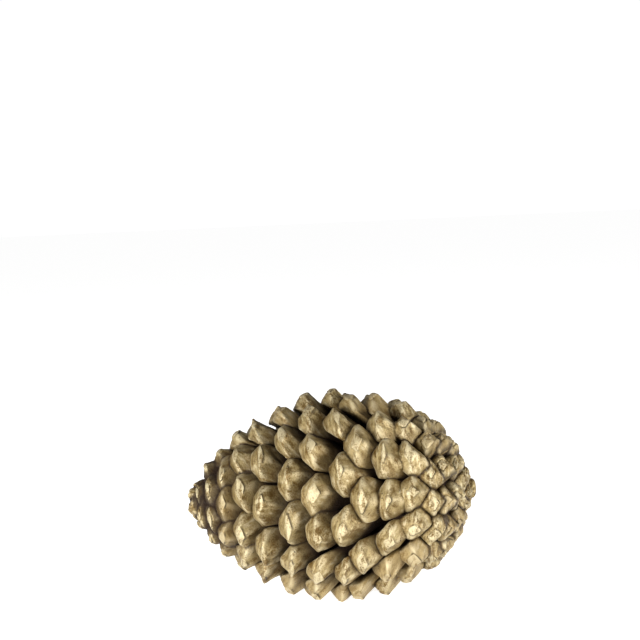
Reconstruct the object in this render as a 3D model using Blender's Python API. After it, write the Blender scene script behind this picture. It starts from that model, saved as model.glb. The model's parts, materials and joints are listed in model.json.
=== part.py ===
"""An open pine cone lying on its side, with its tip to -X and its stem end to +X.

The cone is one grown piece: a woody core with a short stem stub, and thick-headed scales
that stand out of it in rows, leaning towards the tip. All the scales are fused to the core.
"""

from math import cos, pi, radians, sin

import bmesh
import bpy
import numpy as np
from mathutils import Matrix, Vector

MM = 0.001

# Rows of scales from the stem end to the tip: where the row's scale ends lie along the axis,
# measured from the belly towards the tip in mm, how many scales it has, and the angle of one
# of them round the axis in degrees. Angle 0 faces -Y, and 90 faces down.
ROWS = (
    (-67.0, 5, 0),
    (-63.0, 8, 20),
    (-57.5, 11, -5),
    (-50.5, 13, -31),
    (-43.5, 15, -2),
    (-32.0, 15, -12),
    (-19.0, 14, -8),
    (-6.5, 10, -7),
    (3.0, 11, -25),
    (16.0, 14, -15),
    (29.0, 12, -24),
    (41.5, 10, -6),
    (52.0, 10, -20),
    (60.5, 9, -8),
    (67.0, 8, -32),
    (72.5, 6, -45),
    (76.0, 3, 20),
)

# Curves along the axis: stations on it in mm, and the values there in mm or degrees.
END_RADIUS = (
    (-69, -66, -62.5, -57.5, -52.5, -47.5, -37.5, -27.5, -13.5, 0),
    (5, 12, 20, 28, 34, 37.5, 44, 48.5, 52, 53.3),
)
END_RADIUS_TO_TIP = (
    (0, 12.5, 26, 37.5, 47.5, 56.5, 64.5, 69, 73, 77),
    (53.3, 52.6, 48, 42.5, 37, 29.5, 22.5, 16.5, 9, 3),
)
LEAN = (
    (-67, -63, -58, -51.5, -43, -30, -18, 0, 20, 35, 50, 62, 72, 77),
    (150, 138, 122, 104, 88, 66, 55, 50, 45, 40, 33, 27, 19, 12),
)
HEAD_HALF_WIDTH = (
    (-67, -58, -43, -30, -10, 20, 45, 60, 70, 77),
    (4.3, 6.2, 7.6, 8.6, 9.8, 9.9, 9.3, 8.0, 6.2, 3.8),
)
HEAD_HALF_THICKNESS = (
    (-67, -58, -43, -30, 0, 30, 50, 65, 77),
    (2.9, 3.9, 4.7, 5.0, 5.0, 4.9, 4.5, 3.8, 2.8),
)
FACE_TILT = (
    (-58, -44, -30, -10, 25, 50, 65, 77),
    (0, 8, 18, 26, 26, 22, 15, 6),
)
CORE_RADIUS = (
    (-66, -62, -56, -48, -40, -30, -20, -8, 8, 25, 45, 62, 70),
    (6, 14, 24, 32, 36, 35, 27, 19, 15, 12, 8.5, 5, 2),
)
CORE_SIDES = 14

# A scale's own form: stations along its body as shares of its length, half width, half
# thickness and the tilt of its face, with the share of the half width where the broad faces'
# corners lie. The last is the umbo, the small lozenge that ends the cap, which rises from the
# rim and sits nearer to its side towards the tip.
BODY = (
    (0.00, 0.26, 0.44, 0.0, 0.55),
    (0.74, 0.86, 0.76, 0.2, 0.48),
    (1.00, 1.00, 1.00, 0.5, 0.40),
)
UMBO = (0.46, 0.42, 1.0, 0.10)
UMBO_RISE = 0.55
UMBO_SHIFT = 0.20
SCALE_BOW = 0.05
ROOT_DEPTH = 0.62
DEEPEST_ROOT = 8

# The stem stub: places along the axis and radii, in mm.
STEM = ((-72.0, -70.8, -50.0), (4.2, 5.2, 5.7))
STEM_SIDES = 10

# The height of the slice that the resting plane takes off the lowest scale ends, in mm.
FOOT_CUT = 0.9

# Small natural differences between scales: degrees, mm and shares.
SEED = 1
ANGLE_SPREAD = 1.4
PLACE_SPREAD = 0.7
LEAN_SPREAD = 2.5
TWIST_SPREAD = 5.0
SIZE_SPREAD = 0.05

GOLD = (0.36, 0.27, 0.14, 1.0)
GOLD_METALLIC = 0.45
GOLD_ROUGHNESS = 0.42


def along(curve, place):
    """The value of a curve at a place on the axis."""
    return float(np.interp(place, *curve))


def end_radius(place):
    return along(END_RADIUS if place < 0 else END_RADIUS_TO_TIP, place)


def clear_scene():
    for old in list(bpy.data.objects):
        bpy.data.objects.remove(old, do_unlink=True)


def cone_point(place, radius, angle):
    """A point from its place along the axis, distance from it and angle round it."""
    return Vector((-place, -radius * cos(angle), -radius * sin(angle)))


def section(corner):
    """The six corners of a unit section: two sides, and two corners on each broad face."""
    return ((1, 0), (corner, 1), (-corner, 1), (-1, 0), (-corner, -1), (corner, -1))


def skin(name, rings):
    """A closed mesh over rings of points, with a flat cap at each end."""
    bm = bmesh.new()
    loops = [[bm.verts.new(point) for point in ring] for ring in rings]
    for lower, upper in zip(loops, loops[1:]):
        for index in range(len(lower)):
            after = (index + 1) % len(lower)
            bm.faces.new((lower[index], lower[after], upper[after], upper[index]))
    bm.faces.new(loops[0][::-1])
    bm.faces.new(loops[-1])
    bmesh.ops.recalc_face_normals(bm, faces=bm.faces)
    mesh = bpy.data.meshes.new(name)
    bm.to_mesh(mesh)
    bm.free()
    return mesh


def turned(name, places, radii, sides):
    """A closed turned solid round the cone's axis."""
    rings = []
    for place, radius in zip(places, radii):
        rings.append([cone_point(place, radius, 2 * pi * k / sides) * MM for k in range(sides)])
    return skin(name, rings)


def scale_mesh(scale):
    """One closed scale, skinned over its root, shoulder, rim and umbo."""
    rings = []
    levels = [(share, Vector(), *form) for share, *form in BODY]
    levels.append((1, scale["rise"], *UMBO))
    for share, rise, wide, thick, tilt, corner in levels:
        turn = Matrix.Rotation(tilt * scale["tilt"], 3, scale["side"])
        bow = 4 * share * (1 - share) * SCALE_BOW * scale["length"]
        middle = scale["root"] + scale["out"] * (share * scale["length"]) + scale["back"] * bow
        ring = []
        for across, through in section(corner):
            offset = scale["side"] * (across * wide * scale["half_width"])
            offset = offset + (turn @ scale["back"]) * (through * thick * scale["half_thickness"])
            ring.append(middle + rise + offset)
        rings.append(ring)
    return skin("scale", rings)


def scale_placement(place, angle, spread):
    """One scale's root, directions and sizes, in metres, before the cone is laid down."""
    lean = radians(along(LEAN, place) + spread[0] * LEAN_SPREAD)
    tilt = radians(along(FACE_TILT, place))
    twist_angle = radians(spread[1] * TWIST_SPREAD)
    half_thickness = along(HEAD_HALF_THICKNESS, place) * (1 + spread[2] * SIZE_SPREAD)
    half_width = along(HEAD_HALF_WIDTH, place) * (1 + spread[3] * SIZE_SPREAD)
    axis = Vector((-1, 0, 0))
    radial = cone_point(0, 1, angle)
    out = axis * cos(lean) + radial * sin(lean)
    back = radial * cos(lean) - axis * sin(lean)
    face = axis * cos(lean + tilt) + radial * sin(lean + tilt)
    rise = (face * UMBO_RISE - back * UMBO_SHIFT) * half_thickness
    head = cone_point(place, end_radius(place), angle) - rise
    root_radius = min(ROOT_DEPTH * along(CORE_RADIUS, place), DEEPEST_ROOT)
    length = (head.dot(radial) - root_radius) / sin(lean)
    twist = Matrix.Rotation(twist_angle, 3, out)
    return {
        "root": (head - out * length) * MM,
        "out": out,
        "side": twist @ axis.cross(radial),
        "back": twist @ back,
        "tilt": tilt,
        "rise": rise * MM,
        "length": length * MM,
        "half_width": half_width * MM,
        "half_thickness": half_thickness * MM,
    }


def scale_placements():
    draw = np.random.default_rng(SEED)
    placements = []
    for row_place, count, first in ROWS:
        for step in range(count):
            spread = draw.uniform(-1, 1, 6)
            angle = radians(first + step * 360 / count + spread[0] * ANGLE_SPREAD)
            place = row_place + spread[1] * PLACE_SPREAD
            placements.append(scale_placement(place, angle, spread[2:]))
    return placements


def linked(name, mesh, collection):
    made = bpy.data.objects.new(name, mesh)
    collection.objects.link(made)
    return made


def fuse(body, repeats):
    """Joins every object of the collection to the body with one Boolean union."""
    union = body.modifiers.new("union", "BOOLEAN")
    union.operation = "UNION"
    union.solver = "MANIFOLD"
    union.operand_type = "COLLECTION"
    union.collection = repeats
    graph = bpy.context.evaluated_depsgraph_get()
    fused = bpy.data.meshes.new_from_object(body.evaluated_get(graph))
    body.modifiers.clear()
    body.data = fused
    for used in list(repeats.objects):
        bpy.data.objects.remove(used, do_unlink=True)
    bpy.data.collections.remove(repeats)


def face_shells(bm):
    """The faces in groups that hold together across their edges, the smallest group first."""
    left = set(bm.faces)
    shells = []
    while left:
        front = [left.pop()]
        shell = list(front)
        while front:
            for edge in front.pop().edges:
                for other in edge.link_faces:
                    if other in left:
                        left.remove(other)
                        front.append(other)
                        shell.append(other)
        shells.append(shell)
    return sorted(shells, key=len)


def keep_outer_shell(body):
    """Drops the walls of hollows that the fusing sealed, which fills them, and any loose scrap."""
    bm = bmesh.new()
    bm.from_mesh(body.data)
    inner = [face for shell in face_shells(bm)[:-1] for face in shell]
    bmesh.ops.delete(bm, geom=inner, context="FACES")
    bm.to_mesh(body.data)
    bm.free()


def lay_down(body):
    """Cuts the lowest scale ends flat and puts the origin under the middle of the cone."""
    bm = bmesh.new()
    bm.from_mesh(body.data)
    plane = min(vert.co.z for vert in bm.verts) + FOOT_CUT * MM
    cut = bmesh.ops.bisect_plane(
        bm,
        geom=bm.verts[:] + bm.edges[:] + bm.faces[:],
        plane_co=(0, 0, plane),
        plane_no=(0, 0, -1),
        clear_outer=True,
    )
    rim = [piece for piece in cut["geom_cut"] if isinstance(piece, bmesh.types.BMEdge)]
    bmesh.ops.holes_fill(bm, edges=rim, sides=0)
    low = [min(vert.co[axis] for vert in bm.verts) for axis in range(3)]
    high = [max(vert.co[axis] for vert in bm.verts) for axis in range(3)]
    middle = Vector(((low[0] + high[0]) / 2, (low[1] + high[1]) / 2, low[2]))
    bmesh.ops.translate(bm, verts=bm.verts, vec=-middle)
    bmesh.ops.recalc_face_normals(bm, faces=bm.faces)
    bm.to_mesh(body.data)
    bm.free()


def gold_paint():
    paint = bpy.data.materials.new("gold_paint")
    paint.use_nodes = True
    shader = paint.node_tree.nodes["Principled BSDF"]
    shader.inputs["Base Color"].default_value = GOLD
    shader.inputs["Metallic"].default_value = GOLD_METALLIC
    shader.inputs["Roughness"].default_value = GOLD_ROUGHNESS
    return paint


def build():
    clear_scene()
    scene = bpy.context.scene.collection
    body = linked("pine_cone", turned("pine_cone", *CORE_RADIUS, CORE_SIDES), scene)
    repeats = bpy.data.collections.new("repeats")
    scene.children.link(repeats)
    linked("stem", turned("stem", *STEM, STEM_SIDES), repeats)
    for scale in scale_placements():
        linked("scale", scale_mesh(scale), repeats)
    fuse(body, repeats)
    keep_outer_shell(body)
    lay_down(body)
    body.data.materials.clear()
    body.data.materials.append(gold_paint())


build()
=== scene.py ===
"""The looks of an open pine cone in pale gold paint, laid on its side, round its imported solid."""

import json
from math import cos, pi, radians, sin

import bmesh
import bpy
import numpy as np
from mathutils import Matrix, Vector, noise

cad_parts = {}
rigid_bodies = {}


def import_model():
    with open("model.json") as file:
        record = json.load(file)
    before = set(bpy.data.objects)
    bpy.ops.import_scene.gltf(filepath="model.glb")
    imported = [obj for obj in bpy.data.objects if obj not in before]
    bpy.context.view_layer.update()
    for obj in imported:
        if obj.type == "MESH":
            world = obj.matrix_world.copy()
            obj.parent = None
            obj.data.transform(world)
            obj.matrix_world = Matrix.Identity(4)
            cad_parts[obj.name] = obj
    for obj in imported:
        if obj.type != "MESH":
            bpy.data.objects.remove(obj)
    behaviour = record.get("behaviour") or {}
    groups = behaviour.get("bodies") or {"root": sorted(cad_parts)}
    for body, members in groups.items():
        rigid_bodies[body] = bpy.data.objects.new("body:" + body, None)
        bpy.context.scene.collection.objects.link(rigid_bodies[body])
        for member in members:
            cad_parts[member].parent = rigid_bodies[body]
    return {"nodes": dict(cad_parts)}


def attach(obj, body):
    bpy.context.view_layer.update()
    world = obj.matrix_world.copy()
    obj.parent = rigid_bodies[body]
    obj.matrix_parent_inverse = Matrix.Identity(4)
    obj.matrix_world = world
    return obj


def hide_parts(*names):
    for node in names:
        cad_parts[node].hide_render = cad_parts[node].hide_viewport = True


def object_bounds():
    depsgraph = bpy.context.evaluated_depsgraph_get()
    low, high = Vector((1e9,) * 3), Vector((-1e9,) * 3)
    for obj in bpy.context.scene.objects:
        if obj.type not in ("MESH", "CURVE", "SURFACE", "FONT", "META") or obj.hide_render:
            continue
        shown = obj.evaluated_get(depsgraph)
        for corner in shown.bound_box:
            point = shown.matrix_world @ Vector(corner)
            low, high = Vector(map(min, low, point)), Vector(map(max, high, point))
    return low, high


bl_info = {
    "name": "Gilded pine cone",
    "version": (1, 0, 0),
    "blender": (4, 5, 0),
    "location": "View3D > Sidebar > Pine cone",
    "description": "Makes the scales, core and stage of an open pine cone in pale gold paint",
    "category": "Object",
}

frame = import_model()
CAD_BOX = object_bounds()
NODE = "pine_cone"
MM = 0.001

# Rows of scales from the stem end to the tip, as in the solid: where the row's scale ends lie
# along the axis, measured from the belly towards the tip in mm, how many scales it has, and the
# angle of one of them round the axis in degrees. Angle 0 faces -Y, and 90 faces down.
ROWS = (
    (-67.0, 5, 0),
    (-63.0, 8, 20),
    (-57.5, 11, -5),
    (-50.5, 13, -31),
    (-43.5, 15, -2),
    (-32.0, 15, -12),
    (-19.0, 14, -8),
    (-6.5, 10, -7),
    (3.0, 11, -25),
    (16.0, 14, -15),
    (29.0, 12, -24),
    (41.5, 10, -6),
    (52.0, 10, -20),
    (60.5, 9, -8),
    (67.0, 8, -32),
    (72.5, 6, -45),
    (76.0, 3, 20),
)

# Curves along the axis, as in the solid: stations on it in mm, and values in mm or degrees.
END_RADIUS = (
    (-69, -66, -62.5, -57.5, -52.5, -47.5, -37.5, -27.5, -13.5, 0),
    (5, 12, 20, 28, 34, 37.5, 44, 48.5, 52, 53.3),
)
END_RADIUS_TO_TIP = (
    (0, 12.5, 26, 37.5, 47.5, 56.5, 64.5, 69, 73, 77),
    (53.3, 52.6, 48, 42.5, 37, 29.5, 22.5, 16.5, 9, 3),
)
LEAN = (
    (-67, -63, -58, -51.5, -43, -30, -18, 0, 20, 35, 50, 62, 72, 77),
    (150, 138, 122, 104, 88, 66, 55, 50, 45, 40, 33, 27, 19, 12),
)
HEAD_HALF_WIDTH = (
    (-67, -58, -43, -30, -10, 20, 45, 60, 70, 77),
    (4.3, 6.2, 7.6, 8.6, 9.8, 9.9, 9.3, 8.0, 6.2, 3.8),
)
HEAD_HALF_THICKNESS = (
    (-67, -58, -43, -30, 0, 30, 50, 65, 77),
    (2.9, 3.9, 4.7, 5.0, 5.0, 4.9, 4.5, 3.8, 2.8),
)
FACE_TILT = (
    (-58, -44, -30, -10, 25, 50, 65, 77),
    (0, 8, 18, 26, 26, 22, 15, 6),
)
CORE_RADIUS = (
    (-66, -62, -56, -48, -40, -30, -20, -8, 8, 25, 45, 62, 70),
    (6, 14, 24, 32, 36, 35, 27, 19, 15, 12, 8.5, 5, 2),
)
# A scale's own form, as in the solid: how far its umbo rises and lies to the stem side, as shares
# of the half thickness, how far it bows, as a share of its length, and how deep in the core it
# starts, as a share of the core's radius but no deeper than some mm from the axis.
UMBO_RISE = 0.55
UMBO_SHIFT = 0.20
SCALE_BOW = 0.05
ROOT_DEPTH = 0.62
DEEPEST_ROOT = 8
# The stem stub: places along the axis and radii, in mm.
STEM = ((-72.0, -71.6, -70.8, -69.0, -60.0, -50.0), (3.4, 4.4, 5.1, 5.3, 5.5, 5.7))
# Small natural differences between scales, as in the solid: degrees, mm and shares.
SEED = 1
ANGLE_SPREAD = 1.4
PLACE_SPREAD = 0.7
LEAN_SPREAD = 2.5
TWIST_SPREAD = 5.0
SIZE_SPREAD = 0.05

# Curves of what the finer scales add. An umbo is the raised lozenge in the middle of a scale's
# end: its half width and half thickness are shares of the end's, and its step and dome are how
# far its edge and its middle stand proud, in mm.
UMBO_WIDTH = ((-67, -45, -20, 10, 50, 72), (0.42, 0.48, 0.52, 0.54, 0.52, 0.45))
UMBO_THICKNESS = ((-67, -45, -20, 10, 50, 72), (0.36, 0.36, 0.38, 0.40, 0.38, 0.36))
UMBO_STEP = ((-67, -50, -30, 0, 25, 60, 77), (0.35, 0.35, 0.30, 0.25, 0.15, 0.15, 0.3))
UMBO_DOME = ((-67, -50, -30, 0, 60, 77), (0.8, 0.7, 0.6, 0.5, 0.6, 0.5))
# Where the head and its umbo lie to the stem side, as shares of the half thickness.
HEAD_SHIFT = ((-67, -45, -20, 10, 50, 77), (0.0, -0.05, -0.12, -0.15, -0.15, -0.05))
UMBO_PLACE = ((-67, -45, -20, 10, 50, 77), (0.0, 0.0, 0.10, 0.20, 0.20, 0.05))
# How much of the lumps' height shows.
RUGGEDNESS = ((-67, -48, -30, -10, 40, 60, 77), (1.2, 1.0, 0.6, 0.25, 0.25, 0.6, 1.1))
# How many times as wide and thick an end is as the solid's plainer one.
END_WIDEN = (
    (-67, -63, -57, -43, -30, 0, 40, 68, 77),
    (1.55, 1.50, 1.34, 1.17, 1.18, 1.18, 1.20, 1.40, 1.75),
)
END_THICKEN = (
    (-67, -63, -57, -43, -32, -19, 0, 40, 68, 77),
    (1.9, 2.05, 1.9, 1.60, 1.42, 1.24, 1.16, 1.18, 1.60, 1.90),
)
# How far an end's slanting edges lie from its middle, to the stem side and to the tip side,
# where 1 reaches as far as the half width and half thickness do.
STEM_EDGE = ((-67, -45, -25, 0, 77), (0.80, 0.76, 0.77, 0.78, 0.80))
TIP_EDGE = ((-67, -45, -25, 0, 77), (0.82, 0.80, 0.84, 0.90, 0.90))
# How far the rim falls back on the stem side and at the side corners, in mm.
STEM_SIDE_DROP = ((-67, -50, -38, -25, -5, 40, 60, 77), (1.0, 1.8, 3.5, 6.0, 8.0, 8.0, 5.0, 1.5))
CORNER_DROP = ((-67, -50, -30, 0, 40, 60, 77), (1.2, 1.8, 2.2, 3.2, 3.2, 2.4, 1.2))
# The height of the keel, the ridge across an end, in mm.
KEEL = ((-67, -50, -30, 0, 40, 77), (0.8, 0.9, 0.8, 0.6, 0.5, 0.4))
# Where the scales are packed as plates round the stem, and how far such a plate bulges, in mm.
PACKED = ((-46, -28), (1, 0))
PACKED_BULGE = 1.1
# The shares of a scale's length where its head starts and where it is full.
HEAD_START = ((-50, -20), (0.90, 0.70))
HEAD_FULL = ((-50, -20), (0.99, 0.90))
# The share of the solid's face tilt that the finer scales keep.
FACE_TURN = 0.65
# How far above the solid's end the umbo's edge lies, in mm.
UMBO_LIFT = 0.3

# Curves along one scale: shares of its length, and shares of its half width and half thickness.
BODY_WIDTH = (
    (0, 0.45, 0.60, 0.72, 0.82, 0.90, 0.96, 1),
    (0.30, 0.46, 0.56, 0.69, 0.84, 0.955, 0.992, 1),
)
BODY_THICKNESS = ((0, 0.5, 0.7, 0.85, 0.95, 1), (0.45, 0.60, 0.69, 0.83, 0.96, 1))
# Where its round stalk turns into the head's edged outline.
EDGED = ((0.55, 1.0), (0, 1))
# Where its rings of points lie: along the body, over the cap from the rim in, and over the umbo.
BODY_SHARES = (0.0, 0.30, 0.50, 0.62, 0.71, 0.78, 0.84, 0.89, 0.93, 0.96, 0.985)
CAP_SHARES = (0.0, 0.05, 0.14, 0.26, 0.40, 0.54, 0.68, 0.80, 0.90, 0.965, 1.0)
UMBO_SHARES = (0.97, 0.86, 0.66, 0.42, 0.18)
# How strong the marks for the paint are along those shares: pale rims, partly rubbed paint and partly
# painted highlight, and dark creases.
BODY_RUBBED_AND_HIGHLIGHT = ((0.93, 0.965, 1.0), (0, 0.6, 1.0))
CAP_RUBBED_AND_HIGHLIGHT = ((0, 0.05, 0.2), (1, 0.9, 0))
UMBO_RUBBED_AND_HIGHLIGHT = ((0.66, 0.86, 0.97), (0, 1, 0.6))
UMBO_CREASE = ((0.80, 0.965, 1), (0, 1, 1))
PACKED_CREASE = ((0, 0.16, 0.42), (1, 0.85, 0))
CREASE_DEPTH = 0.22
# How far an end's side edges and its edge on the tip side lie from its middle, in the same shares
# as its slanting ones. A higher sharpness leaves the corners between edges less rounded.
SIDE_EDGE = 0.93
TIP_SIDE_EDGE = 0.98
CORNER_SHARPNESS = 38

# The ranges that the forms of one row draw their differences from. Most are factors. The facing is
# in degrees, wave_start and crease_turn are in radians, umbo_place is in mm, the two other slides
# are shares of the half width, and skew is how far an end slants to one side.
DRAWN = {
    "corner_drop": (0.7, 1.2),
    "wave_size": (0.3, 1),
    "wave_start": (0, 2 * pi),
    "edge_facing": (-8, 8),
    "edge_distance": (0.95, 1.05),
    "umbo_width": (0.7, 1.2),
    "umbo_thickness": (0.6, 1.25),
    "umbo_step": (0.4, 1.5),
    "umbo_slide": (-0.14, 0.14),
    "keel": (0.5, 1.3),
    "skew": (-0.14, 0.22),
    "ridge_slide": (-0.30, 0.30),
    "umbo_place": (-0.4, 0.4),
    "crease_turn": (-1.2, 1.2),
}
# Soft waves round a scale: how many there are in each turn, and the height of the first as a share
# of the half width.
WAVES_ROUND = (1, 2, 3, 5)
WAVE_HEIGHT = 0.06

# How many forms each row has, and the pieces with their first rows and the rows after their last.
VARIANTS = 4
GROUPS = (("base_scales", 0, 6), ("middle_scales", 6, 11), ("tip_scales", 11, 17))

# The small scales at the tip get more painted shade: a factor on their depth and mm added to it.
TIP_DEPTH_FACTOR = ((45, 70), (1.0, 2.0))
TIP_DEPTH_ADDED = ((50, 66), (0.0, 6.5))
# A seam gets painted shade where two scales meet in cells of this width, on this many shifted grids.
SEAM_WIDTH = 1.6 * MM
SEAM_GRIDS = 24

# The core and the stem: points round them, rings along them, the size and height of their bark in
# mm, and how far the stem's broken end is sunk, with the shares where that end's rings lie.
CORE_MESH = (96, 120)
STEM_MESH = (48, 60)
BARK_SIZE = 2.5
BARK_HEIGHT = 1.2
END_SINK = 1.4 * MM
END_SHARES = (0.94, 0.84, 0.68, 0.50, 0.32, 0.14)

# How far a scale's tone, from 0 to 1, slides its own patterns in mm, so that no two are the same.
TONE_SLIDE = (97.0, 61.0)
# The sizes of the paint's patterns in mm: folds across the ends, fibres along the scales, patches
# of thick and thin paint, grain, pits and the patches that are pitted. Real paint's grain is
# finer than 0.3 mm, and it is drawn as coarse as it needs to be to show.
FOLDS = 1.5
FIBRES = 0.9
BLOTCHES = 5.5
GRAIN = 0.8
PITS = 2.3
PITTED = 7.0

# The lights: name, place in metres, side of the square in metres and power in watts.
LIGHTS = (
    ("key_light", (-0.65, -0.85, 0.15), 0.25, 19),
    ("fill_light", (0.90, -0.50, 0.05), 0.4, 19),
    ("top_light", (-0.2, 0.2, 1.2), 1.0, 4),
)
FLOOR_REACH = 6.0
FLOOR_GLOW = 0.85
# The room's strength as light, level with the floor and from this height up, and as the camera
# sees it.
ROOM_LEVEL = 0.28
ROOM_ABOVE = 0.10
ROOM_HEIGHT = 0.8
ROOM_SEEN = 1.02
SENSOR_WIDTH = 36
# The photo's side, and where the middle of the cone's box lies in it, in px from its top left.
PHOTO_SIDE = 640
CONE_IN_PHOTO = (333, 494)


def linear(code):
    """An sRGB hex colour as linear red, green and blue."""
    parts = [int(code[k:k + 2], 16) / 255 for k in (1, 3, 5)]
    return tuple(p / 12.92 if p <= 0.04045 else ((p + 0.055) / 1.055) ** 2.4 for p in parts)


def along(curve, place):
    """The value of a curve at a place on the axis, or at a share of a scale's length."""
    return float(np.interp(place, *curve))


def end_radius(place):
    return along(END_RADIUS if place < 0 else END_RADIUS_TO_TIP, place)


def cone_point(place, radius, angle):
    """A point from its place along the axis, distance from it and angle round it."""
    return Vector((-place, -radius * cos(angle), -radius * sin(angle)))


def axis_origin():
    """Where the solid's axis passes its belly, found from the ring that ends its stem."""
    stem_x = CAD_BOX[1][0]
    ring = [v.co for v in frame["nodes"][NODE].data.vertices if v.co.x > stem_x - 0.01 * MM]
    middle = sum(ring, Vector()) / len(ring)
    return Vector((stem_x + STEM[0][0] * MM, middle.y, middle.z))


class ConeSizes(bpy.types.PropertyGroup):
    points_round: bpy.props.IntProperty(
        name="Points round a scale", description="Mesh points in each ring of a scale", default=46, min=12
    )
    warp_width: bpy.props.FloatProperty(
        name="Warp width", description="Size of the soft warps that set scales apart",
        default=0.011, unit="LENGTH",
    )
    warp_height: bpy.props.FloatProperty(
        name="Warp height", description="How far the soft warps move a scale's end",
        default=0.0024, unit="LENGTH",
    )
    lump_width: bpy.props.FloatProperty(
        name="Lump width", description="Size of the small lumps on the scale ends",
        default=0.0026, unit="LENGTH",
    )
    lump_height: bpy.props.FloatProperty(
        name="Lump height", description="Height of the lumps on the most rugged scales",
        default=0.0016, unit="LENGTH",
    )
    wrinkle_width: bpy.props.FloatProperty(
        name="Wrinkle width", description="Spacing of the folds across the scale ends",
        default=0.0026, unit="LENGTH",
    )
    wrinkle_height: bpy.props.FloatProperty(
        name="Wrinkle height", description="Height of the folds across the scale ends",
        default=0.0006, unit="LENGTH",
    )


class ConeColours(bpy.types.PropertyGroup):
    # Pale rubbed paint and a painted highlight on rims, keels and umbos.
    rubbed_paint_and_highlight: bpy.props.FloatVectorProperty(
        name="Worn paint", description="Paint on rims, keels and umbos", subtype="COLOR",
        default=linear("#DAD0B1"),
    )
    paint: bpy.props.FloatVectorProperty(
        name="Paint", description="Champagne gold paint on the scale ends", subtype="COLOR",
        default=linear("#99885F"),
    )
    # Thin olive paint, also used as painted warm shade near the seams and deeper down.
    thin_paint_and_warm_shade: bpy.props.FloatVectorProperty(
        name="Thin paint", description="Paint where the wood shows through", subtype="COLOR",
        default=linear("#553F18"),
    )
    stalk: bpy.props.FloatVectorProperty(
        name="Stalk", description="The smooth sides of the scales", subtype="COLOR",
        default=linear("#7E6840"),
    )
    # Dark brown for pits and creases, and painted shade deep between the scales and in the seams.
    dark_brown_and_shade: bpy.props.FloatVectorProperty(
        name="Hollow", description="Bare wood deep between the scales", subtype="COLOR",
        default=linear("#1E1004"),
    )


class ConeStage(bpy.types.PropertyGroup):
    floor_colour: bpy.props.FloatVectorProperty(
        name="Floor", description="Colour of the floor", subtype="COLOR", default=linear("#F7F7F6")
    )
    lens: bpy.props.FloatProperty(name="Lens", description="Focal length in mm", default=85.0)
    distance: bpy.props.FloatProperty(
        name="Distance", description="From the camera to the cone's middle", default=0.784, unit="LENGTH"
    )
    azimuth: bpy.props.FloatProperty(
        name="Azimuth", description="How far the camera stands round from -Y",
        default=radians(-4), subtype="ANGLE",
    )
    elevation: bpy.props.FloatProperty(
        name="Elevation", description="How high the camera looks from", default=radians(12), subtype="ANGLE"
    )
    roll: bpy.props.FloatProperty(
        name="Roll", description="The camera's turn about its view", default=radians(-2.4), subtype="ANGLE"
    )


def add(tree, kind, inputs=(), **settings):
    """Adds a node with its settings, and gives its inputs values or links."""
    node = tree.nodes.new(kind)
    for name, value in settings.items():
        setattr(node, name, value)
    for key, value in dict(inputs).items():
        if isinstance(value, bpy.types.NodeSocket):
            tree.links.new(value, node.inputs[key])
        else:
            node.inputs[key].default_value = value
    return node


def linked(name, mesh):
    made = bpy.data.objects.new(name, mesh)
    bpy.context.scene.collection.objects.link(made)
    return made


def section(turn, edges):
    """Distance to the edge of a section in the direction turn.

    Each straight edge has its own facing and distance, and the corners are slightly rounded.
    """
    sides = (max(0.0, cos(turn - facing)) / distance for facing, distance in edges)
    return sum(side ** CORNER_SHARPNESS for side in sides) ** (-1 / CORNER_SHARPNESS)


def row_form(place):
    """The mean form of the scales whose ends lie at a place, in mm and radians."""
    return scale_form(place, 0, (0, 0, 0, 0))


def scale_form(place, angle, spread):
    """One scale's end, directions and sizes, as the solid has them, before it is laid down."""
    lean = radians(along(LEAN, place) + spread[0] * LEAN_SPREAD)
    tilt = radians(along(FACE_TILT, place))
    half_thickness = along(HEAD_HALF_THICKNESS, place) * (1 + spread[2] * SIZE_SPREAD)
    half_width = along(HEAD_HALF_WIDTH, place) * (1 + spread[3] * SIZE_SPREAD)
    axis = Vector((-1, 0, 0))
    radial = cone_point(0, 1, angle)
    out = axis * cos(lean) + radial * sin(lean)
    back = radial * cos(lean) - axis * sin(lean)
    face = axis * cos(lean + tilt) + radial * sin(lean + tilt)
    rise = (face * UMBO_RISE - back * UMBO_SHIFT) * half_thickness
    head = cone_point(place, end_radius(place), angle) - rise
    root_radius = min(ROOT_DEPTH * along(CORE_RADIUS, place), DEEPEST_ROOT)
    twist = Matrix.Rotation(radians(spread[1] * TWIST_SPREAD), 3, out)
    side = twist @ axis.cross(radial)
    back = twist @ back
    return {
        "head": head,
        "turn": Matrix((back, side, out)).transposed(),
        "tilt": tilt,
        "length": (head.dot(radial) - root_radius) / sin(lean),
        "half_width": half_width,
        "half_thickness": half_thickness,
    }


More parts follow.
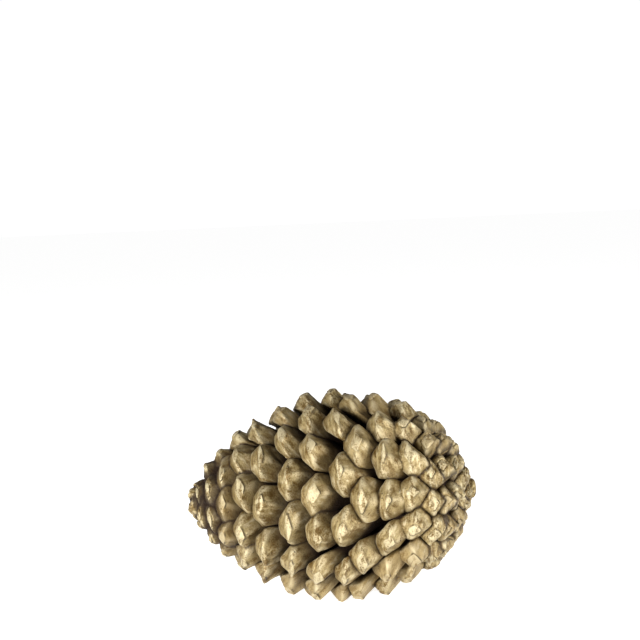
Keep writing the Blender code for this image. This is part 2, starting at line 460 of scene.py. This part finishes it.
def scale_rings(place, form, points_round, draw):
    """Rings of points over one scale from its root to its umbo, with what each ring is.

    Own axes in mm: X to the stem side, Y across, Z outwards, with the origin inside the end.
    """
    def drawn(name):
        return draw.uniform(*DRAWN[name])

    length = form["length"]
    half_width = form["half_width"] * along(END_WIDEN, place)
    half_thickness = form["half_thickness"] * along(END_THICKEN, place)
    back_drop = along(STEM_SIDE_DROP, place)
    corner_drop = along(CORNER_DROP, place) * drawn("corner_drop")
    waves = [(k, drawn("wave_size") * WAVE_HEIGHT / k, drawn("wave_start")) for k in WAVES_ROUND]
    stem_edge = along(STEM_EDGE, place)
    tip_edge = along(TIP_EDGE, place)
    # Facings in degrees: 90 is the stem side, -90 the tip side, and 0 and 180 the two other sides.
    edges = [
        (radians(facing + drawn("edge_facing")), distance * drawn("edge_distance"))
        for facing, distance in (
            (0, SIDE_EDGE),
            (40, stem_edge),
            (140, stem_edge),
            (180, SIDE_EDGE),
            (-138, tip_edge),
            (-90, TIP_SIDE_EDGE),
            (-42, tip_edge),
        )
    ]
    umbo_width = along(UMBO_WIDTH, place) * drawn("umbo_width")
    umbo_thickness = along(UMBO_THICKNESS, place) * drawn("umbo_thickness")
    step = along(UMBO_STEP, place) * drawn("umbo_step")
    dome = along(UMBO_DOME, place)
    umbo_slide = drawn("umbo_slide") * half_width
    keel = along(KEEL, place) * drawn("keel")
    skew = drawn("skew")
    ridge_slide = drawn("ridge_slide") * half_width
    head_shift = along(HEAD_SHIFT, place) * half_thickness
    umbo_place = along(UMBO_PLACE, place) * half_thickness + drawn("umbo_place")
    crease_turn = drawn("crease_turn")
    packed = along(PACKED, place)
    face_tilt = form["tilt"] * FACE_TURN
    top = UMBO_RISE * form["half_thickness"] + UMBO_LIFT
    head_share = (along(HEAD_START, place), along(HEAD_FULL, place))
    turns = [2 * pi * k / points_round for k in range(points_round)]
    rings = []

    def body_point(turn, share):
        """A point of the stalk and of the head's sides, up to the rim at share 1."""
        wide = along(BODY_WIDTH, share)
        full = along(BODY_THICKNESS, share)
        near = along(EDGED, share)
        reach = 1 + (section(turn, edges) - 1) * near
        reach *= 1 + sum(size * cos(count * turn + start) for count, size, start in waves) * wide
        across = cos(turn) * reach * wide * half_width
        through = sin(turn) * reach * full * half_thickness
        behind = max(0.0, sin(turn)) * reach
        bow = 4 * share * (1 - share) * SCALE_BOW * length
        tilt = face_tilt * share ** 3
        x = bow + head_shift * near + through * cos(tilt) + skew * across * near
        z = (share - 1) * length - through * sin(tilt)
        z -= near * (corner_drop * cos(turn) ** 2 + (back_drop - corner_drop * cos(turn) ** 2) * behind)
        return Vector((x, across + ridge_slide * behind * near, z))

    def umbo_point(turn, share, height):
        """A point of the plate round the umbo, at share 1 on its edge."""
        reach = section(turn, edges) * share
        across = cos(turn) * reach * umbo_width * half_width
        through = sin(turn) * reach * umbo_thickness * half_thickness
        rise = Vector((sin(face_tilt), 0, cos(face_tilt))) * height
        return rise + Vector((
            umbo_place + through * cos(face_tilt) + skew * across,
            across + umbo_slide,
            -through * sin(face_tilt),
        ))

    for share in BODY_SHARES:
        head = np.interp(share, head_share, (0, 1))
        edge = along(BODY_RUBBED_AND_HIGHLIGHT, share)
        ring = []
        for turn in turns:
            # Pale marks on the tip side's rim: rubbed paint and a painted highlight.
            rubbed_and_highlight = edge * max(0, -sin(turn)) ** 0.5
            ring.append((body_point(turn, share), {"head": head, "umbo": 0, "rim": rubbed_and_highlight, "crease": 0}))
        rings.append(ring)
    for share in CAP_SHARES:
        ring = []
        for turn in turns:
            front = min(1.0, max(0.0, 0.5 - sin(turn)))
            point = body_point(turn, 1).lerp(umbo_point(turn, 1, top), share)
            crest = abs(cos(turn)) ** 14 + 0.6 * max(0.0, sin(turn)) ** 30
            point.z += keel * crest * sin(pi * share) ** 0.8
            point.z += packed * PACKED_BULGE * sin(pi * share) ** 0.6
            point.z += front * 0.35 * (1 - (1 - min(share * 5, 1)) ** 2) * (1 - share)
            crease = along(UMBO_CREASE, share)
            point.z -= CREASE_DEPTH * crease
            # Pale marks on the rim and the keel: rubbed paint and a painted highlight.
            edge = along(CAP_RUBBED_AND_HIGHLIGHT, share) * max(0, -sin(turn)) ** 0.5 * (1 - packed)
            edge = max(edge, crest * sin(pi * share) ** 0.5)
            crease *= min(1.0, max(0.0, 0.35 + 0.9 * sin(turn + crease_turn)))
            crease = max(crease, packed * along(PACKED_CREASE, share))
            ring.append((point, {"head": 1, "umbo": 0, "rim": edge, "crease": crease}))
        rings.append(ring)
    for share in UMBO_SHARES:
        height = top + step * min(1, (1 - share) * 10) + dome * (1 - share ** 2)
        # Pale marks on the umbo: rubbed paint and a painted highlight.
        edge = along(UMBO_RUBBED_AND_HIGHLIGHT, share)
        marks = {"head": 1, "umbo": 1, "rim": edge, "crease": 0}
        rings.append([(umbo_point(turn, share, height), marks) for turn in turns])
    return rings


def scale_mesh(name, place, points_round, draw):
    """A closed mesh of one scale, with its own coordinates and the masks its paint follows."""
    rings = scale_rings(place, row_form(place), points_round, draw)
    bm = bmesh.new()
    layers = {key: bm.verts.layers.float.new(key) for key in ("head", "umbo", "rim", "crease")}
    own = bm.verts.layers.float_vector.new("own")

    def vert(point, marks):
        made = bm.verts.new(point * MM)
        made[own] = point
        for key, layer in layers.items():
            made[layer] = float(marks[key])
        return made

    loops = [[vert(point, marks) for point, marks in ring] for ring in rings]
    for lower, upper in zip(loops, loops[1:]):
        for k in range(points_round):
            after = (k + 1) % points_round
            bm.faces.new((lower[k], lower[after], upper[after], upper[k]))
    for ring, loop in ((rings[0], loops[0]), (rings[-1], loops[-1])):
        middle = sum((point for point, marks in ring), Vector()) / points_round
        centre = vert(middle, ring[0][1])
        for k in range(points_round):
            bm.faces.new((loop[k], loop[(k + 1) % points_round], centre))
    bmesh.ops.recalc_face_normals(bm, faces=bm.faces)
    for face in bm.faces:
        face.smooth = True
    mesh = bpy.data.meshes.new(name)
    bm.to_mesh(mesh)
    bm.free()
    return mesh


def scale_points(first_row, last_row, origin):
    """A mesh of one point for each scale of some rows, with how the scale there is turned."""
    draw = np.random.default_rng(SEED)
    pick = np.random.default_rng(SEED + 1)
    places, turns, stretches, forms, tones, rugged = [], [], [], [], [], []
    for row, (row_place, count, first) in enumerate(ROWS):
        mean = row_form(row_place)
        for step in range(count):
            spread = draw.uniform(-1, 1, 6)
            variant = int(pick.integers(VARIANTS))
            tone = pick.uniform(0, 1)
            if not first_row <= row < last_row:
                continue
            angle = radians(first + step * 360 / count + spread[0] * ANGLE_SPREAD)
            place = row_place + spread[1] * PLACE_SPREAD
            form = scale_form(place, angle, spread[2:])
            places.append(form["head"] * MM + origin)
            turns.append(form["turn"].to_euler())
            stretches.append([form[key] / mean[key] for key in ("half_thickness", "half_width", "length")])
            forms.append((row - first_row) * VARIANTS + variant)
            tones.append(tone)
            rugged.append(along(RUGGEDNESS, place))
    mesh = bpy.data.meshes.new("scale_points")
    mesh.from_pydata(places, [], [])
    for name, kind, field, values in (
        ("turn", "FLOAT_VECTOR", "vector", turns),
        ("stretch", "FLOAT_VECTOR", "vector", stretches),
        ("form", "INT", "value", forms),
        ("tone", "FLOAT", "value", tones),
        ("rugged", "FLOAT", "value", rugged),
    ):
        made = mesh.attributes.new(name, kind, "POINT")
        made.data.foreach_set(field, np.array(values).ravel())
    return mesh


def named(tree, name, kind):
    return add(tree, "GeometryNodeInputNamedAttribute", {"Name": name}, data_type=kind).outputs["Attribute"]


def scale_tree(paint):
    """Geometry Nodes that set a scale on each point, warp and roughen it, and rest it on z = 0."""
    tree = bpy.data.node_groups.new("Scales on points", "GeometryNodeTree")
    face = tree.interface
    face.new_socket("Geometry", in_out="INPUT", socket_type="NodeSocketGeometry")
    face.new_socket("Forms", in_out="INPUT", socket_type="NodeSocketCollection")
    for kind in ("Warp", "Lump", "Wrinkle"):
        for measure in ("width", "height"):
            face.new_socket(f"{kind} {measure}", in_out="INPUT", socket_type="NodeSocketFloat")
    face.new_socket("Geometry", in_out="OUTPUT", socket_type="NodeSocketGeometry")
    given = tree.nodes.new("NodeGroupInput").outputs
    forms = add(tree, "GeometryNodeCollectionInfo", {
        "Collection": given["Forms"], "Separate Children": True, "Reset Children": True})
    turn = add(tree, "FunctionNodeEulerToRotation", {"Euler": named(tree, "turn", "FLOAT_VECTOR")})
    placed = add(tree, "GeometryNodeInstanceOnPoints", {
        "Points": given["Geometry"], "Instance": forms.outputs["Instances"], "Pick Instance": True,
        "Instance Index": named(tree, "form", "INT"), "Rotation": turn.outputs["Rotation"],
        "Scale": named(tree, "stretch", "FLOAT_VECTOR")})
    real = add(tree, "GeometryNodeRealizeInstances", {"Geometry": placed.outputs["Instances"]})
    position = add(tree, "GeometryNodeInputPosition").outputs["Position"]
    normal = add(tree, "GeometryNodeInputNormal").outputs["Normal"]
    head = named(tree, "head", "FLOAT")
    rugged = named(tree, "rugged", "FLOAT")

    def math(operation, first, second):
        return add(tree, "ShaderNodeMath", {0: first, 1: second}, operation=operation).outputs[0]

    def vector(operation, first, second, key=1):
        return add(tree, "ShaderNodeVectorMath", {0: first, key: second}, operation=operation).outputs[0]

    warp = add(tree, "ShaderNodeTexNoise", {
        "Vector": position, "Scale": math("DIVIDE", 1.0, given["Warp width"]), "Detail": 1.0})
    centred = vector("SUBTRACT", warp.outputs["Color"], (0.5, 0.5, 0.5))
    reach = math("MULTIPLY", given["Warp height"], math("ADD", math("MULTIPLY", head, 0.75), 0.25))
    warped = add(tree, "GeometryNodeSetPosition", {
        "Geometry": real.outputs["Geometry"], "Offset": vector("SCALE", centred, reach, "Scale")})
    lumps = add(tree, "ShaderNodeTexNoise", {
        "Vector": position, "Scale": math("DIVIDE", 1.0, given["Lump width"]), "Detail": 2.0,
        "Roughness": 0.6})
    slide = math("MULTIPLY", named(tree, "tone", "FLOAT"), TONE_SLIDE[0])
    across = vector("MULTIPLY", named(tree, "own", "FLOAT_VECTOR"), (MM, 0.35 * MM, 0.22 * MM))
    wrinkles = add(tree, "ShaderNodeTexNoise", {
        "Vector": across, "W": slide, "Scale": math("DIVIDE", 1.0, given["Wrinkle width"]), "Detail": 2.0},
        noise_dimensions="4D")
    folds = math("MULTIPLY", math("SUBTRACT", wrinkles.outputs[0], 0.5), given["Wrinkle height"])
    height = math("MULTIPLY", math("SUBTRACT", lumps.outputs[0], 0.5), given["Lump height"])
    height = math("ADD", math("MULTIPLY", height, rugged), folds)
    height = math("MULTIPLY", height, head)
    lumpy = add(tree, "GeometryNodeSetPosition", {
        "Geometry": warped.outputs["Geometry"], "Offset": vector("SCALE", normal, height, "Scale")})
    parts = add(tree, "ShaderNodeSeparateXYZ", {"Vector": position}).outputs
    resting = add(tree, "ShaderNodeCombineXYZ", {
        "X": parts["X"], "Y": parts["Y"], "Z": math("MAXIMUM", parts["Z"], 0.0)}).outputs[0]
    rested = add(tree, "GeometryNodeSetPosition", {
        "Geometry": lumpy.outputs["Geometry"], "Position": resting})
    painted = add(tree, "GeometryNodeSetMaterial", {
        "Geometry": rested.outputs["Geometry"], "Material": paint})
    add(tree, "NodeGroupOutput", {"Geometry": painted.outputs["Geometry"]})
    return tree


def applied(made, tree, values):
    """The plain mesh that a tree makes of an object, with the modifier gone."""
    modifier = made.modifiers.new("scales", "NODES")
    modifier.node_group = tree
    sockets = {item.name: item.identifier for item in tree.interface.items_tree if item.in_out == "INPUT"}
    for name, value in values.items():
        modifier[sockets[name]] = value
    graph = bpy.context.evaluated_depsgraph_get()
    mesh = bpy.data.meshes.new_from_object(
        made.evaluated_get(graph), preserve_all_data_layers=True, depsgraph=graph
    )
    made.modifiers.clear()
    made.data = mesh
    return mesh


def mark_depth(mesh, origin):
    """Stores how deep each point lies under the surface through the scale ends, in mm."""
    points = np.empty(len(mesh.vertices) * 3, np.float32)
    mesh.vertices.foreach_get("co", points)
    points = (points.reshape(-1, 3) - np.array(origin)) / MM
    place = -points[:, 0]
    radius = np.hypot(points[:, 1], points[:, 2])
    first, last = END_RADIUS[0][0], END_RADIUS_TO_TIP[0][-1]
    stations = np.linspace(first, last, last - first + 1)
    ends = np.array([end_radius(station) for station in stations])
    depth = np.full(len(place), 1e3)
    for station, end in zip(stations, ends):
        depth = np.minimum(depth, np.hypot(place - station, radius - end))
    inside = radius < np.interp(place, stations, ends, left=0, right=0)
    # At the tip the depth is made larger, for more painted shade there.
    depth = depth * np.interp(place, *TIP_DEPTH_FACTOR) + np.interp(place, *TIP_DEPTH_ADDED)
    made = mesh.attributes.new("depth", "FLOAT", "POINT")
    made.data.foreach_set("value", np.where(inside, depth, 0).astype(np.float32))


def mark_seams(mesh):
    """Stores how near each point lies to another scale.

    The mark is the share of the shifted grids whose cell round the point holds points of two
    scales, which are told apart by their tones.
    """
    count = len(mesh.vertices)
    points = np.empty(count * 3, np.float32)
    mesh.vertices.foreach_get("co", points)
    tones = np.empty(count, np.float32)
    mesh.attributes["tone"].data.foreach_get("value", tones)
    scales = np.unique(tones, return_inverse=True)[1]
    span = 1000
    draw = np.random.default_rng(SEED)
    met = np.zeros(count, np.float32)
    for _ in range(SEAM_GRIDS):
        cell = np.floor(points.reshape(-1, 3) / SEAM_WIDTH + draw.uniform(0, 1, 3)).astype(np.int64)
        cell += span // 2
        key = (cell[:, 0] * span + cell[:, 1]) * span + cell[:, 2]
        cells, held = np.unique(np.unique(key * span + scales) // span, return_counts=True)
        met += held[np.searchsorted(cells, key)] > 1
    made = mesh.attributes.new("seam_shade", "FLOAT", "POINT")
    made.data.foreach_set("value", met / SEAM_GRIDS)


def gold_paint():
    """Pine wood under a thin satin coat of champagne gold paint, with painted brown shade in the hollows.

    Its fine metal pigment in a clear binder gives soft, broad glints: about a third metallic, at
    a roughness of 0.34 to 0.60. It is palest on rims, keels and umbos, partly from rubbed paint and
    partly as a painted highlight. The dark brown of the pits and the painted shade in the seams and
    hollows are matt.
    """
    colours = bpy.context.scene.pine_cone_colours
    paint = bpy.data.materials.new("champagne_gold_paint_on_pine")
    paint.use_nodes = True
    tree = paint.node_tree
    tree.nodes.clear()

    def attribute(name, field="Fac"):
        return add(tree, "ShaderNodeAttribute", attribute_name=name).outputs[field]

    def math(operation, first, second=0.0, clamp=False):
        made = add(tree, "ShaderNodeMath", {0: first, 1: second}, operation=operation, use_clamp=clamp)
        return made.outputs[0]

    def ramp(value, low, high, out_low=0.0, out_high=1.0):
        return add(tree, "ShaderNodeMapRange", {
            "Value": value, "From Min": low, "From Max": high, "To Min": out_low, "To Max": out_high},
            interpolation_type="SMOOTHSTEP").outputs[0]

    def mix(share, first, second):
        return add(tree, "ShaderNodeMix", {0: share, 6: first, 7: second}, data_type="RGBA").outputs[2]

    def colour(name):
        return (*getattr(colours, name), 1.0)

    def pattern(vector, size, detail=3.0, roughness=0.55):
        return add(tree, "ShaderNodeTexNoise", {
            "Vector": vector, "Scale": 1 / size, "Detail": detail, "Roughness": roughness}).outputs[0]

    def drawn_out(vector, scale):
        return add(tree, "ShaderNodeMapping", {"Vector": vector, "Scale": scale}).outputs[0]

    place = add(tree, "ShaderNodeTexCoord").outputs["Object"]
    object_mm = add(tree, "ShaderNodeVectorMath", {0: place, "Scale": 1 / MM}, operation="SCALE").outputs[0]
    tone = attribute("tone")
    slide = add(tree, "ShaderNodeCombineXYZ", {
        "X": math("MULTIPLY", tone, TONE_SLIDE[0]), "Y": math("MULTIPLY", tone, TONE_SLIDE[1])}).outputs[0]
    own = add(tree, "ShaderNodeVectorMath", {
        0: attribute("own", "Vector"), 1: slide}, operation="ADD").outputs[0]
    # Folds are drawn out 4 to 5 times across an end, and fibres 7 times along a scale.
    across = drawn_out(own, (1.0, 0.28, 0.20))
    lengthwise = drawn_out(own, (1.0, 1.0, 0.14))
    head, umbo, rim, crease = attribute("head"), attribute("umbo"), attribute("rim"), attribute("crease")
    rugged = attribute("rugged")
    # Painted shade on a scale's sides: they count as deeper than its end, most of all on the rugged scales
    # of both ends.
    side_shade = math("ADD", 2.0, math("MULTIPLY", math("MULTIPLY", rugged, rugged), 9.0))
    depth = math("ADD", attribute("depth"), math("MULTIPLY", math("SUBTRACT", 1.0, head), side_shade))

    folds = pattern(across, FOLDS, 3.0, 0.5)
    fibres = pattern(lengthwise, FIBRES)
    blotches = pattern(object_mm, BLOTCHES)
    grain = pattern(object_mm, GRAIN, 2.0)
    cells = add(tree, "ShaderNodeTexVoronoi", {"Vector": object_mm, "Scale": 1 / PITS, "Randomness": 1.0})
    pits = ramp(math("ADD", cells.outputs["Distance"], math("MULTIPLY", grain, 0.5)), 0.30, 0.42, 1.0, 0.0)
    pits = math("MULTIPLY", pits, ramp(pattern(object_mm, PITTED, 1.0), 0.52, 0.62))
    pits = math("MULTIPLY", pits, head)

    shade = math("ADD", math("MULTIPLY", blotches, 0.5), math("MULTIPLY", folds, 0.7))
    shade = math("ADD", shade, math("MULTIPLY", tone, 0.10))
    shade = math("ADD", shade, math("MULTIPLY", math("SUBTRACT", grain, 0.5), 0.6))
    end = mix(ramp(shade, 0.37, 0.79), colour("thin_paint_and_warm_shade"), colour("paint"))
    # Rubbed paint and a painted highlight: pale on umbos, rims and the crests of the folds.
    rubbed_and_highlight = math("MAXIMUM", math("MULTIPLY", umbo, 0.40), math("MULTIPLY", rim, 0.50))
    rubbed_and_highlight = math("MULTIPLY", rubbed_and_highlight, ramp(shade, 0.46, 0.78, 0.0, 1.0))
    rubbed_and_highlight = math("MAXIMUM", rubbed_and_highlight, ramp(folds, 0.57, 0.70, 0.0, 0.40))
    end = mix(rubbed_and_highlight, end, colour("rubbed_paint_and_highlight"))
    end = mix(ramp(tone, 0.45, 1.0, 0.0, 0.40), end, colour("stalk"))
    end = mix(ramp(folds, 0.30, 0.44, 0.35, 0.0), end, colour("thin_paint_and_warm_shade"))
    end = mix(math("MULTIPLY", crease, ramp(blotches, 0.42, 0.56, 0.0, 0.85)), end, colour("dark_brown_and_shade"))
    side = mix(ramp(fibres, 0.35, 0.65), colour("stalk"), colour("paint"))
    side = mix(ramp(blotches, 0.45, 0.62, 0.0, 0.5), side, colour("thin_paint_and_warm_shade"))
    coat = mix(head, side, end)

    coat = mix(math("MULTIPLY", pits, 0.85), coat, colour("dark_brown_and_shade"))
    met = attribute("seam_shade")
    # Painted warm shade: olive near the seams and deeper down, for the shade and the light bounced between
    # the scales.
    warm_shade = math("MAXIMUM", ramp(met, 0.0, 0.45, 0.0, 0.45), ramp(depth, 0.3, 5.0, 0.0, 0.45))
    coat = mix(warm_shade, coat, colour("thin_paint_and_warm_shade"))
    # Painted shade: dark brown where two scales meet.
    seam_shade = ramp(met, 0.30, 0.95, 0.0, 0.80)
    coat = mix(seam_shade, coat, colour("dark_brown_and_shade"))
    # Painted shade: darker the deeper a point lies between the scales.
    depth_shade = ramp(depth, 1.5, 11.5)
    coat = mix(depth_shade, coat, colour("dark_brown_and_shade"))

    covered = math("SUBTRACT", 1.0, math("MAXIMUM", pits, seam_shade))
    metal = math("MULTIPLY", ramp(depth, 4.0, 12.0, 0.32, 0.0), covered)
    rough = math("ADD", ramp(grain, 0.3, 0.7, 0.34, 0.60), math("MULTIPLY", depth_shade, 0.35), clamp=True)
    height = math("MULTIPLY", math("SUBTRACT", folds, 0.5), math("MULTIPLY", head, 0.46))
    fibre_height = math("SUBTRACT", 0.35, math("MULTIPLY", head, 0.3))
    height = math("ADD", height, math("MULTIPLY", fibres, fibre_height))
    height = math("ADD", height, math("MULTIPLY", grain, 0.38))
    height = math("SUBTRACT", height, math("MULTIPLY", pits, 0.5))
    bump = add(tree, "ShaderNodeBump", {"Height": height, "Distance": MM, "Strength": 1.0})
    shader = add(tree, "ShaderNodeBsdfPrincipled", {
        "Base Color": coat, "Metallic": metal, "Roughness": rough, "Specular IOR Level": 0.22,
        "Normal": bump.outputs[0]})
    add(tree, "ShaderNodeOutputMaterial", {"Surface": shader.outputs[0]})
    return paint


def finish_piece(piece):
    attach(piece, "root")
    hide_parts(NODE)


class PINE_CONE_OT_scales(bpy.types.Operator):
    """Makes the woody scales in three pieces: round the stem, round the belly and at the tip"""

    bl_idname = "pine_cone.scales"
    bl_label = "Scales"

    def execute(self, context):
        sizes = context.scene.pine_cone_sizes
        origin = axis_origin()
        paint = gold_paint()
        tree = scale_tree(paint)
        for name, first_row, last_row in GROUPS:
            forms = bpy.data.collections.new(name + "_forms")
            draw = np.random.default_rng(SEED + first_row)
            for row in range(first_row, last_row):
                for variant in range(VARIANTS):
                    title = f"form_{row:02d}_{variant}"
                    mesh = scale_mesh(title, ROWS[row][0], sizes.points_round, draw)
                    forms.objects.link(bpy.data.objects.new(title, mesh))
            piece = linked(name, scale_points(first_row, last_row, origin))
            values = {
                f"{kind} {measure}": getattr(sizes, f"{kind}_{measure}".lower())
                for kind in ("Warp", "Lump", "Wrinkle") for measure in ("width", "height")
            }
            mesh = applied(piece, tree, {"Forms": forms, **values})
            for used in list(forms.objects):
                bpy.data.objects.remove(used, do_unlink=True)
            bpy.data.collections.remove(forms)
            mark_depth(mesh, origin)
            mark_seams(mesh)
            finish_piece(piece)
        return {"FINISHED"}


class PINE_CONE_OT_core(bpy.types.Operator):
    """Makes the woody core that carries the scales, with the broken stub of its stem"""

    bl_idname = "pine_cone.core"
    bl_label = "Core and stem"

    def execute(self, context):
        origin = axis_origin()
        paint = bpy.data.materials["champagne_gold_paint_on_pine"]
        bm = bmesh.new()
        head = bm.verts.layers.float.new("head")
        rugged = bm.verts.layers.float.new("rugged")
        own = bm.verts.layers.float_vector.new("own")

        def vert(point, painted):
            """A point of the core or the stem, pushed in by the furrows of its bark."""
            bark = noise.fractal(point / BARK_SIZE, 0.8, 2.0, 3)
            rough = Vector((0, point.y, point.z)).normalized() * min(0.0, bark * BARK_HEIGHT)
            made = bm.verts.new((point + rough) * MM + origin)
            made[head] = painted
            made[rugged] = 1
            made[own] = point
            return made

        tubes = ((*CORE_RADIUS, *CORE_MESH, 0), (*STEM, *STEM_MESH, 1))
        for places, radii, sides, steps, painted in tubes:
            loops = []
            for place in np.linspace(places[0], places[-1], steps):
                radius = float(np.interp(place, places, radii))
                ring = [cone_point(place, radius, 2 * pi * k / sides) for k in range(sides)]
                loops.append([vert(point, painted) for point in ring])
            for lower, upper in zip(loops, loops[1:]):
                for k in range(sides):
                    after = (k + 1) % sides
                    bm.faces.new((lower[k], lower[after], upper[after], upper[k]))
            for loop, sink in ((loops[0], END_SINK), (loops[-1], 0)):
                middle = sum((v.co for v in loop), Vector()) / sides
                for share in END_SHARES:
                    inner = []
                    for v in loop:
                        made = vert((v.co - origin) / MM, painted)
                        made.co = middle.lerp(v.co, share) - Vector((sink * (1 - share ** 2), 0, 0))
                        made.co.x -= sink * abs(noise.noise(made.co / MM / BARK_SIZE)) * (1 - share)
                        inner.append(made)
                    for k in range(sides):
                        after = (k + 1) % sides
                        bm.faces.new((loop[k], loop[after], inner[after], inner[k]))
                    loop = inner
                bm.faces.new(loop)
        bmesh.ops.recalc_face_normals(bm, faces=bm.faces)
        for face in bm.faces:
            face.smooth = True
        mesh = bpy.data.meshes.new("cone_core")
        bm.to_mesh(mesh)
        bm.free()
        mesh.materials.append(paint)
        mark_depth(mesh, origin)
        finish_piece(linked("cone_core", mesh))
        return {"FINISHED"}


class PINE_CONE_OT_stage(bpy.types.Operator):
    """Sets the floor, the soft studio light and the camera"""

    bl_idname = "pine_cone.stage"
    bl_label = "Stage"

    def execute(self, context):
        stage = context.scene.pine_cone_stage
        low, high = Vector(CAD_BOX[0]), Vector(CAD_BOX[1])
        middle = (low + high) / 2
        floor_mesh = bpy.data.meshes.new("floor")
        corners = [(x * FLOOR_REACH, y * FLOOR_REACH, 0) for x, y in ((-1, -1), (1, -1), (1, 1), (-1, 1))]
        floor_mesh.from_pydata(corners, [], [(0, 1, 2, 3)])
        floor_paint = bpy.data.materials.new("matt_white_card")
        floor_paint.use_nodes = True
        shader = floor_paint.node_tree.nodes["Principled BSDF"]
        shader.inputs["Base Color"].default_value = (*stage.floor_colour, 1)
        shader.inputs["Roughness"].default_value = 0.9
        shader.inputs["Emission Color"].default_value = (1, 1, 1, 1)
        shader.inputs["Emission Strength"].default_value = FLOOR_GLOW
        floor_mesh.materials.append(floor_paint)
        linked("floor", floor_mesh)

        for name, place, size, power in LIGHTS:
            light = bpy.data.lights.new(name, "AREA")
            light.size = size
            light.energy = power
            lamp = linked(name, light)
            lamp.location = place
            lamp.rotation_euler = (middle - Vector(place)).to_track_quat("-Z", "Y").to_euler()
        world = bpy.data.worlds.new("white_room")
        world.use_nodes = True
        tree = world.node_tree
        direction = add(tree, "ShaderNodeTexCoord").outputs["Generated"]
        upward = add(tree, "ShaderNodeSeparateXYZ", {0: direction}).outputs["Z"]
        bright = add(tree, "ShaderNodeMapRange", {
            "Value": upward, "From Min": 0.0, "From Max": ROOM_HEIGHT,
            "To Min": ROOM_LEVEL, "To Max": ROOM_ABOVE}).outputs[0]
        seen = add(tree, "ShaderNodeLightPath").outputs["Is Camera Ray"]
        strength = add(tree, "ShaderNodeMix", {0: seen, 2: bright, 3: ROOM_SEEN}, data_type="FLOAT")
        tree.links.new(strength.outputs[0], tree.nodes["Background"].inputs["Strength"])
        tree.nodes["Background"].inputs["Color"].default_value = (1, 1, 1, 1)
        context.scene.world = world
        context.scene.view_settings.view_transform = "Standard"

        camera_data = bpy.data.cameras.new("camera")
        camera_data.lens = stage.lens
        camera_data.sensor_width = SENSOR_WIDTH
        camera_data.shift_x = (PHOTO_SIDE / 2 - CONE_IN_PHOTO[0]) / PHOTO_SIDE
        camera_data.shift_y = (CONE_IN_PHOTO[1] - PHOTO_SIDE / 2) / PHOTO_SIDE
        camera = linked("camera", camera_data)
        away = Vector((
            sin(stage.azimuth) * cos(stage.elevation),
            -cos(stage.azimuth) * cos(stage.elevation),
            sin(stage.elevation),
        ))
        facing = away.to_track_quat("Z", "Y").to_matrix() @ Matrix.Rotation(stage.roll, 3, "Z")
        camera.matrix_world = Matrix.Translation(middle + away * stage.distance) @ facing.to_4x4()
        context.scene.camera = camera
        return {"FINISHED"}


class PINE_CONE_PT_panel(bpy.types.Panel):
    """Lists the cone's pieces, sizes and colours"""

    bl_idname = "PINE_CONE_PT_panel"
    bl_label = "Pine cone"
    bl_space_type = "VIEW_3D"
    bl_region_type = "UI"
    bl_category = "Pine cone"

    def draw(self, context):
        for group in (
            context.scene.pine_cone_sizes, context.scene.pine_cone_colours, context.scene.pine_cone_stage
        ):
            for name in group.__annotations__:
                self.layout.prop(group, name)
        for operator in (PINE_CONE_OT_scales, PINE_CONE_OT_core, PINE_CONE_OT_stage):
            self.layout.operator(operator.bl_idname)


CLASSES = (
    ConeSizes,
    ConeColours,
    ConeStage,
    PINE_CONE_OT_scales,
    PINE_CONE_OT_core,
    PINE_CONE_OT_stage,
    PINE_CONE_PT_panel,
)


def register():
    for kind in CLASSES:
        bpy.utils.register_class(kind)
    bpy.types.Scene.pine_cone_sizes = bpy.props.PointerProperty(type=ConeSizes)
    bpy.types.Scene.pine_cone_colours = bpy.props.PointerProperty(type=ConeColours)
    bpy.types.Scene.pine_cone_stage = bpy.props.PointerProperty(type=ConeStage)


def unregister():
    del bpy.types.Scene.pine_cone_stage
    del bpy.types.Scene.pine_cone_colours
    del bpy.types.Scene.pine_cone_sizes
    for kind in reversed(CLASSES):
        bpy.utils.unregister_class(kind)


def main():
    register()
    bpy.ops.pine_cone.stage()
    bpy.ops.pine_cone.scales()
    bpy.ops.pine_cone.core()


if __name__ == "__main__":
    main()
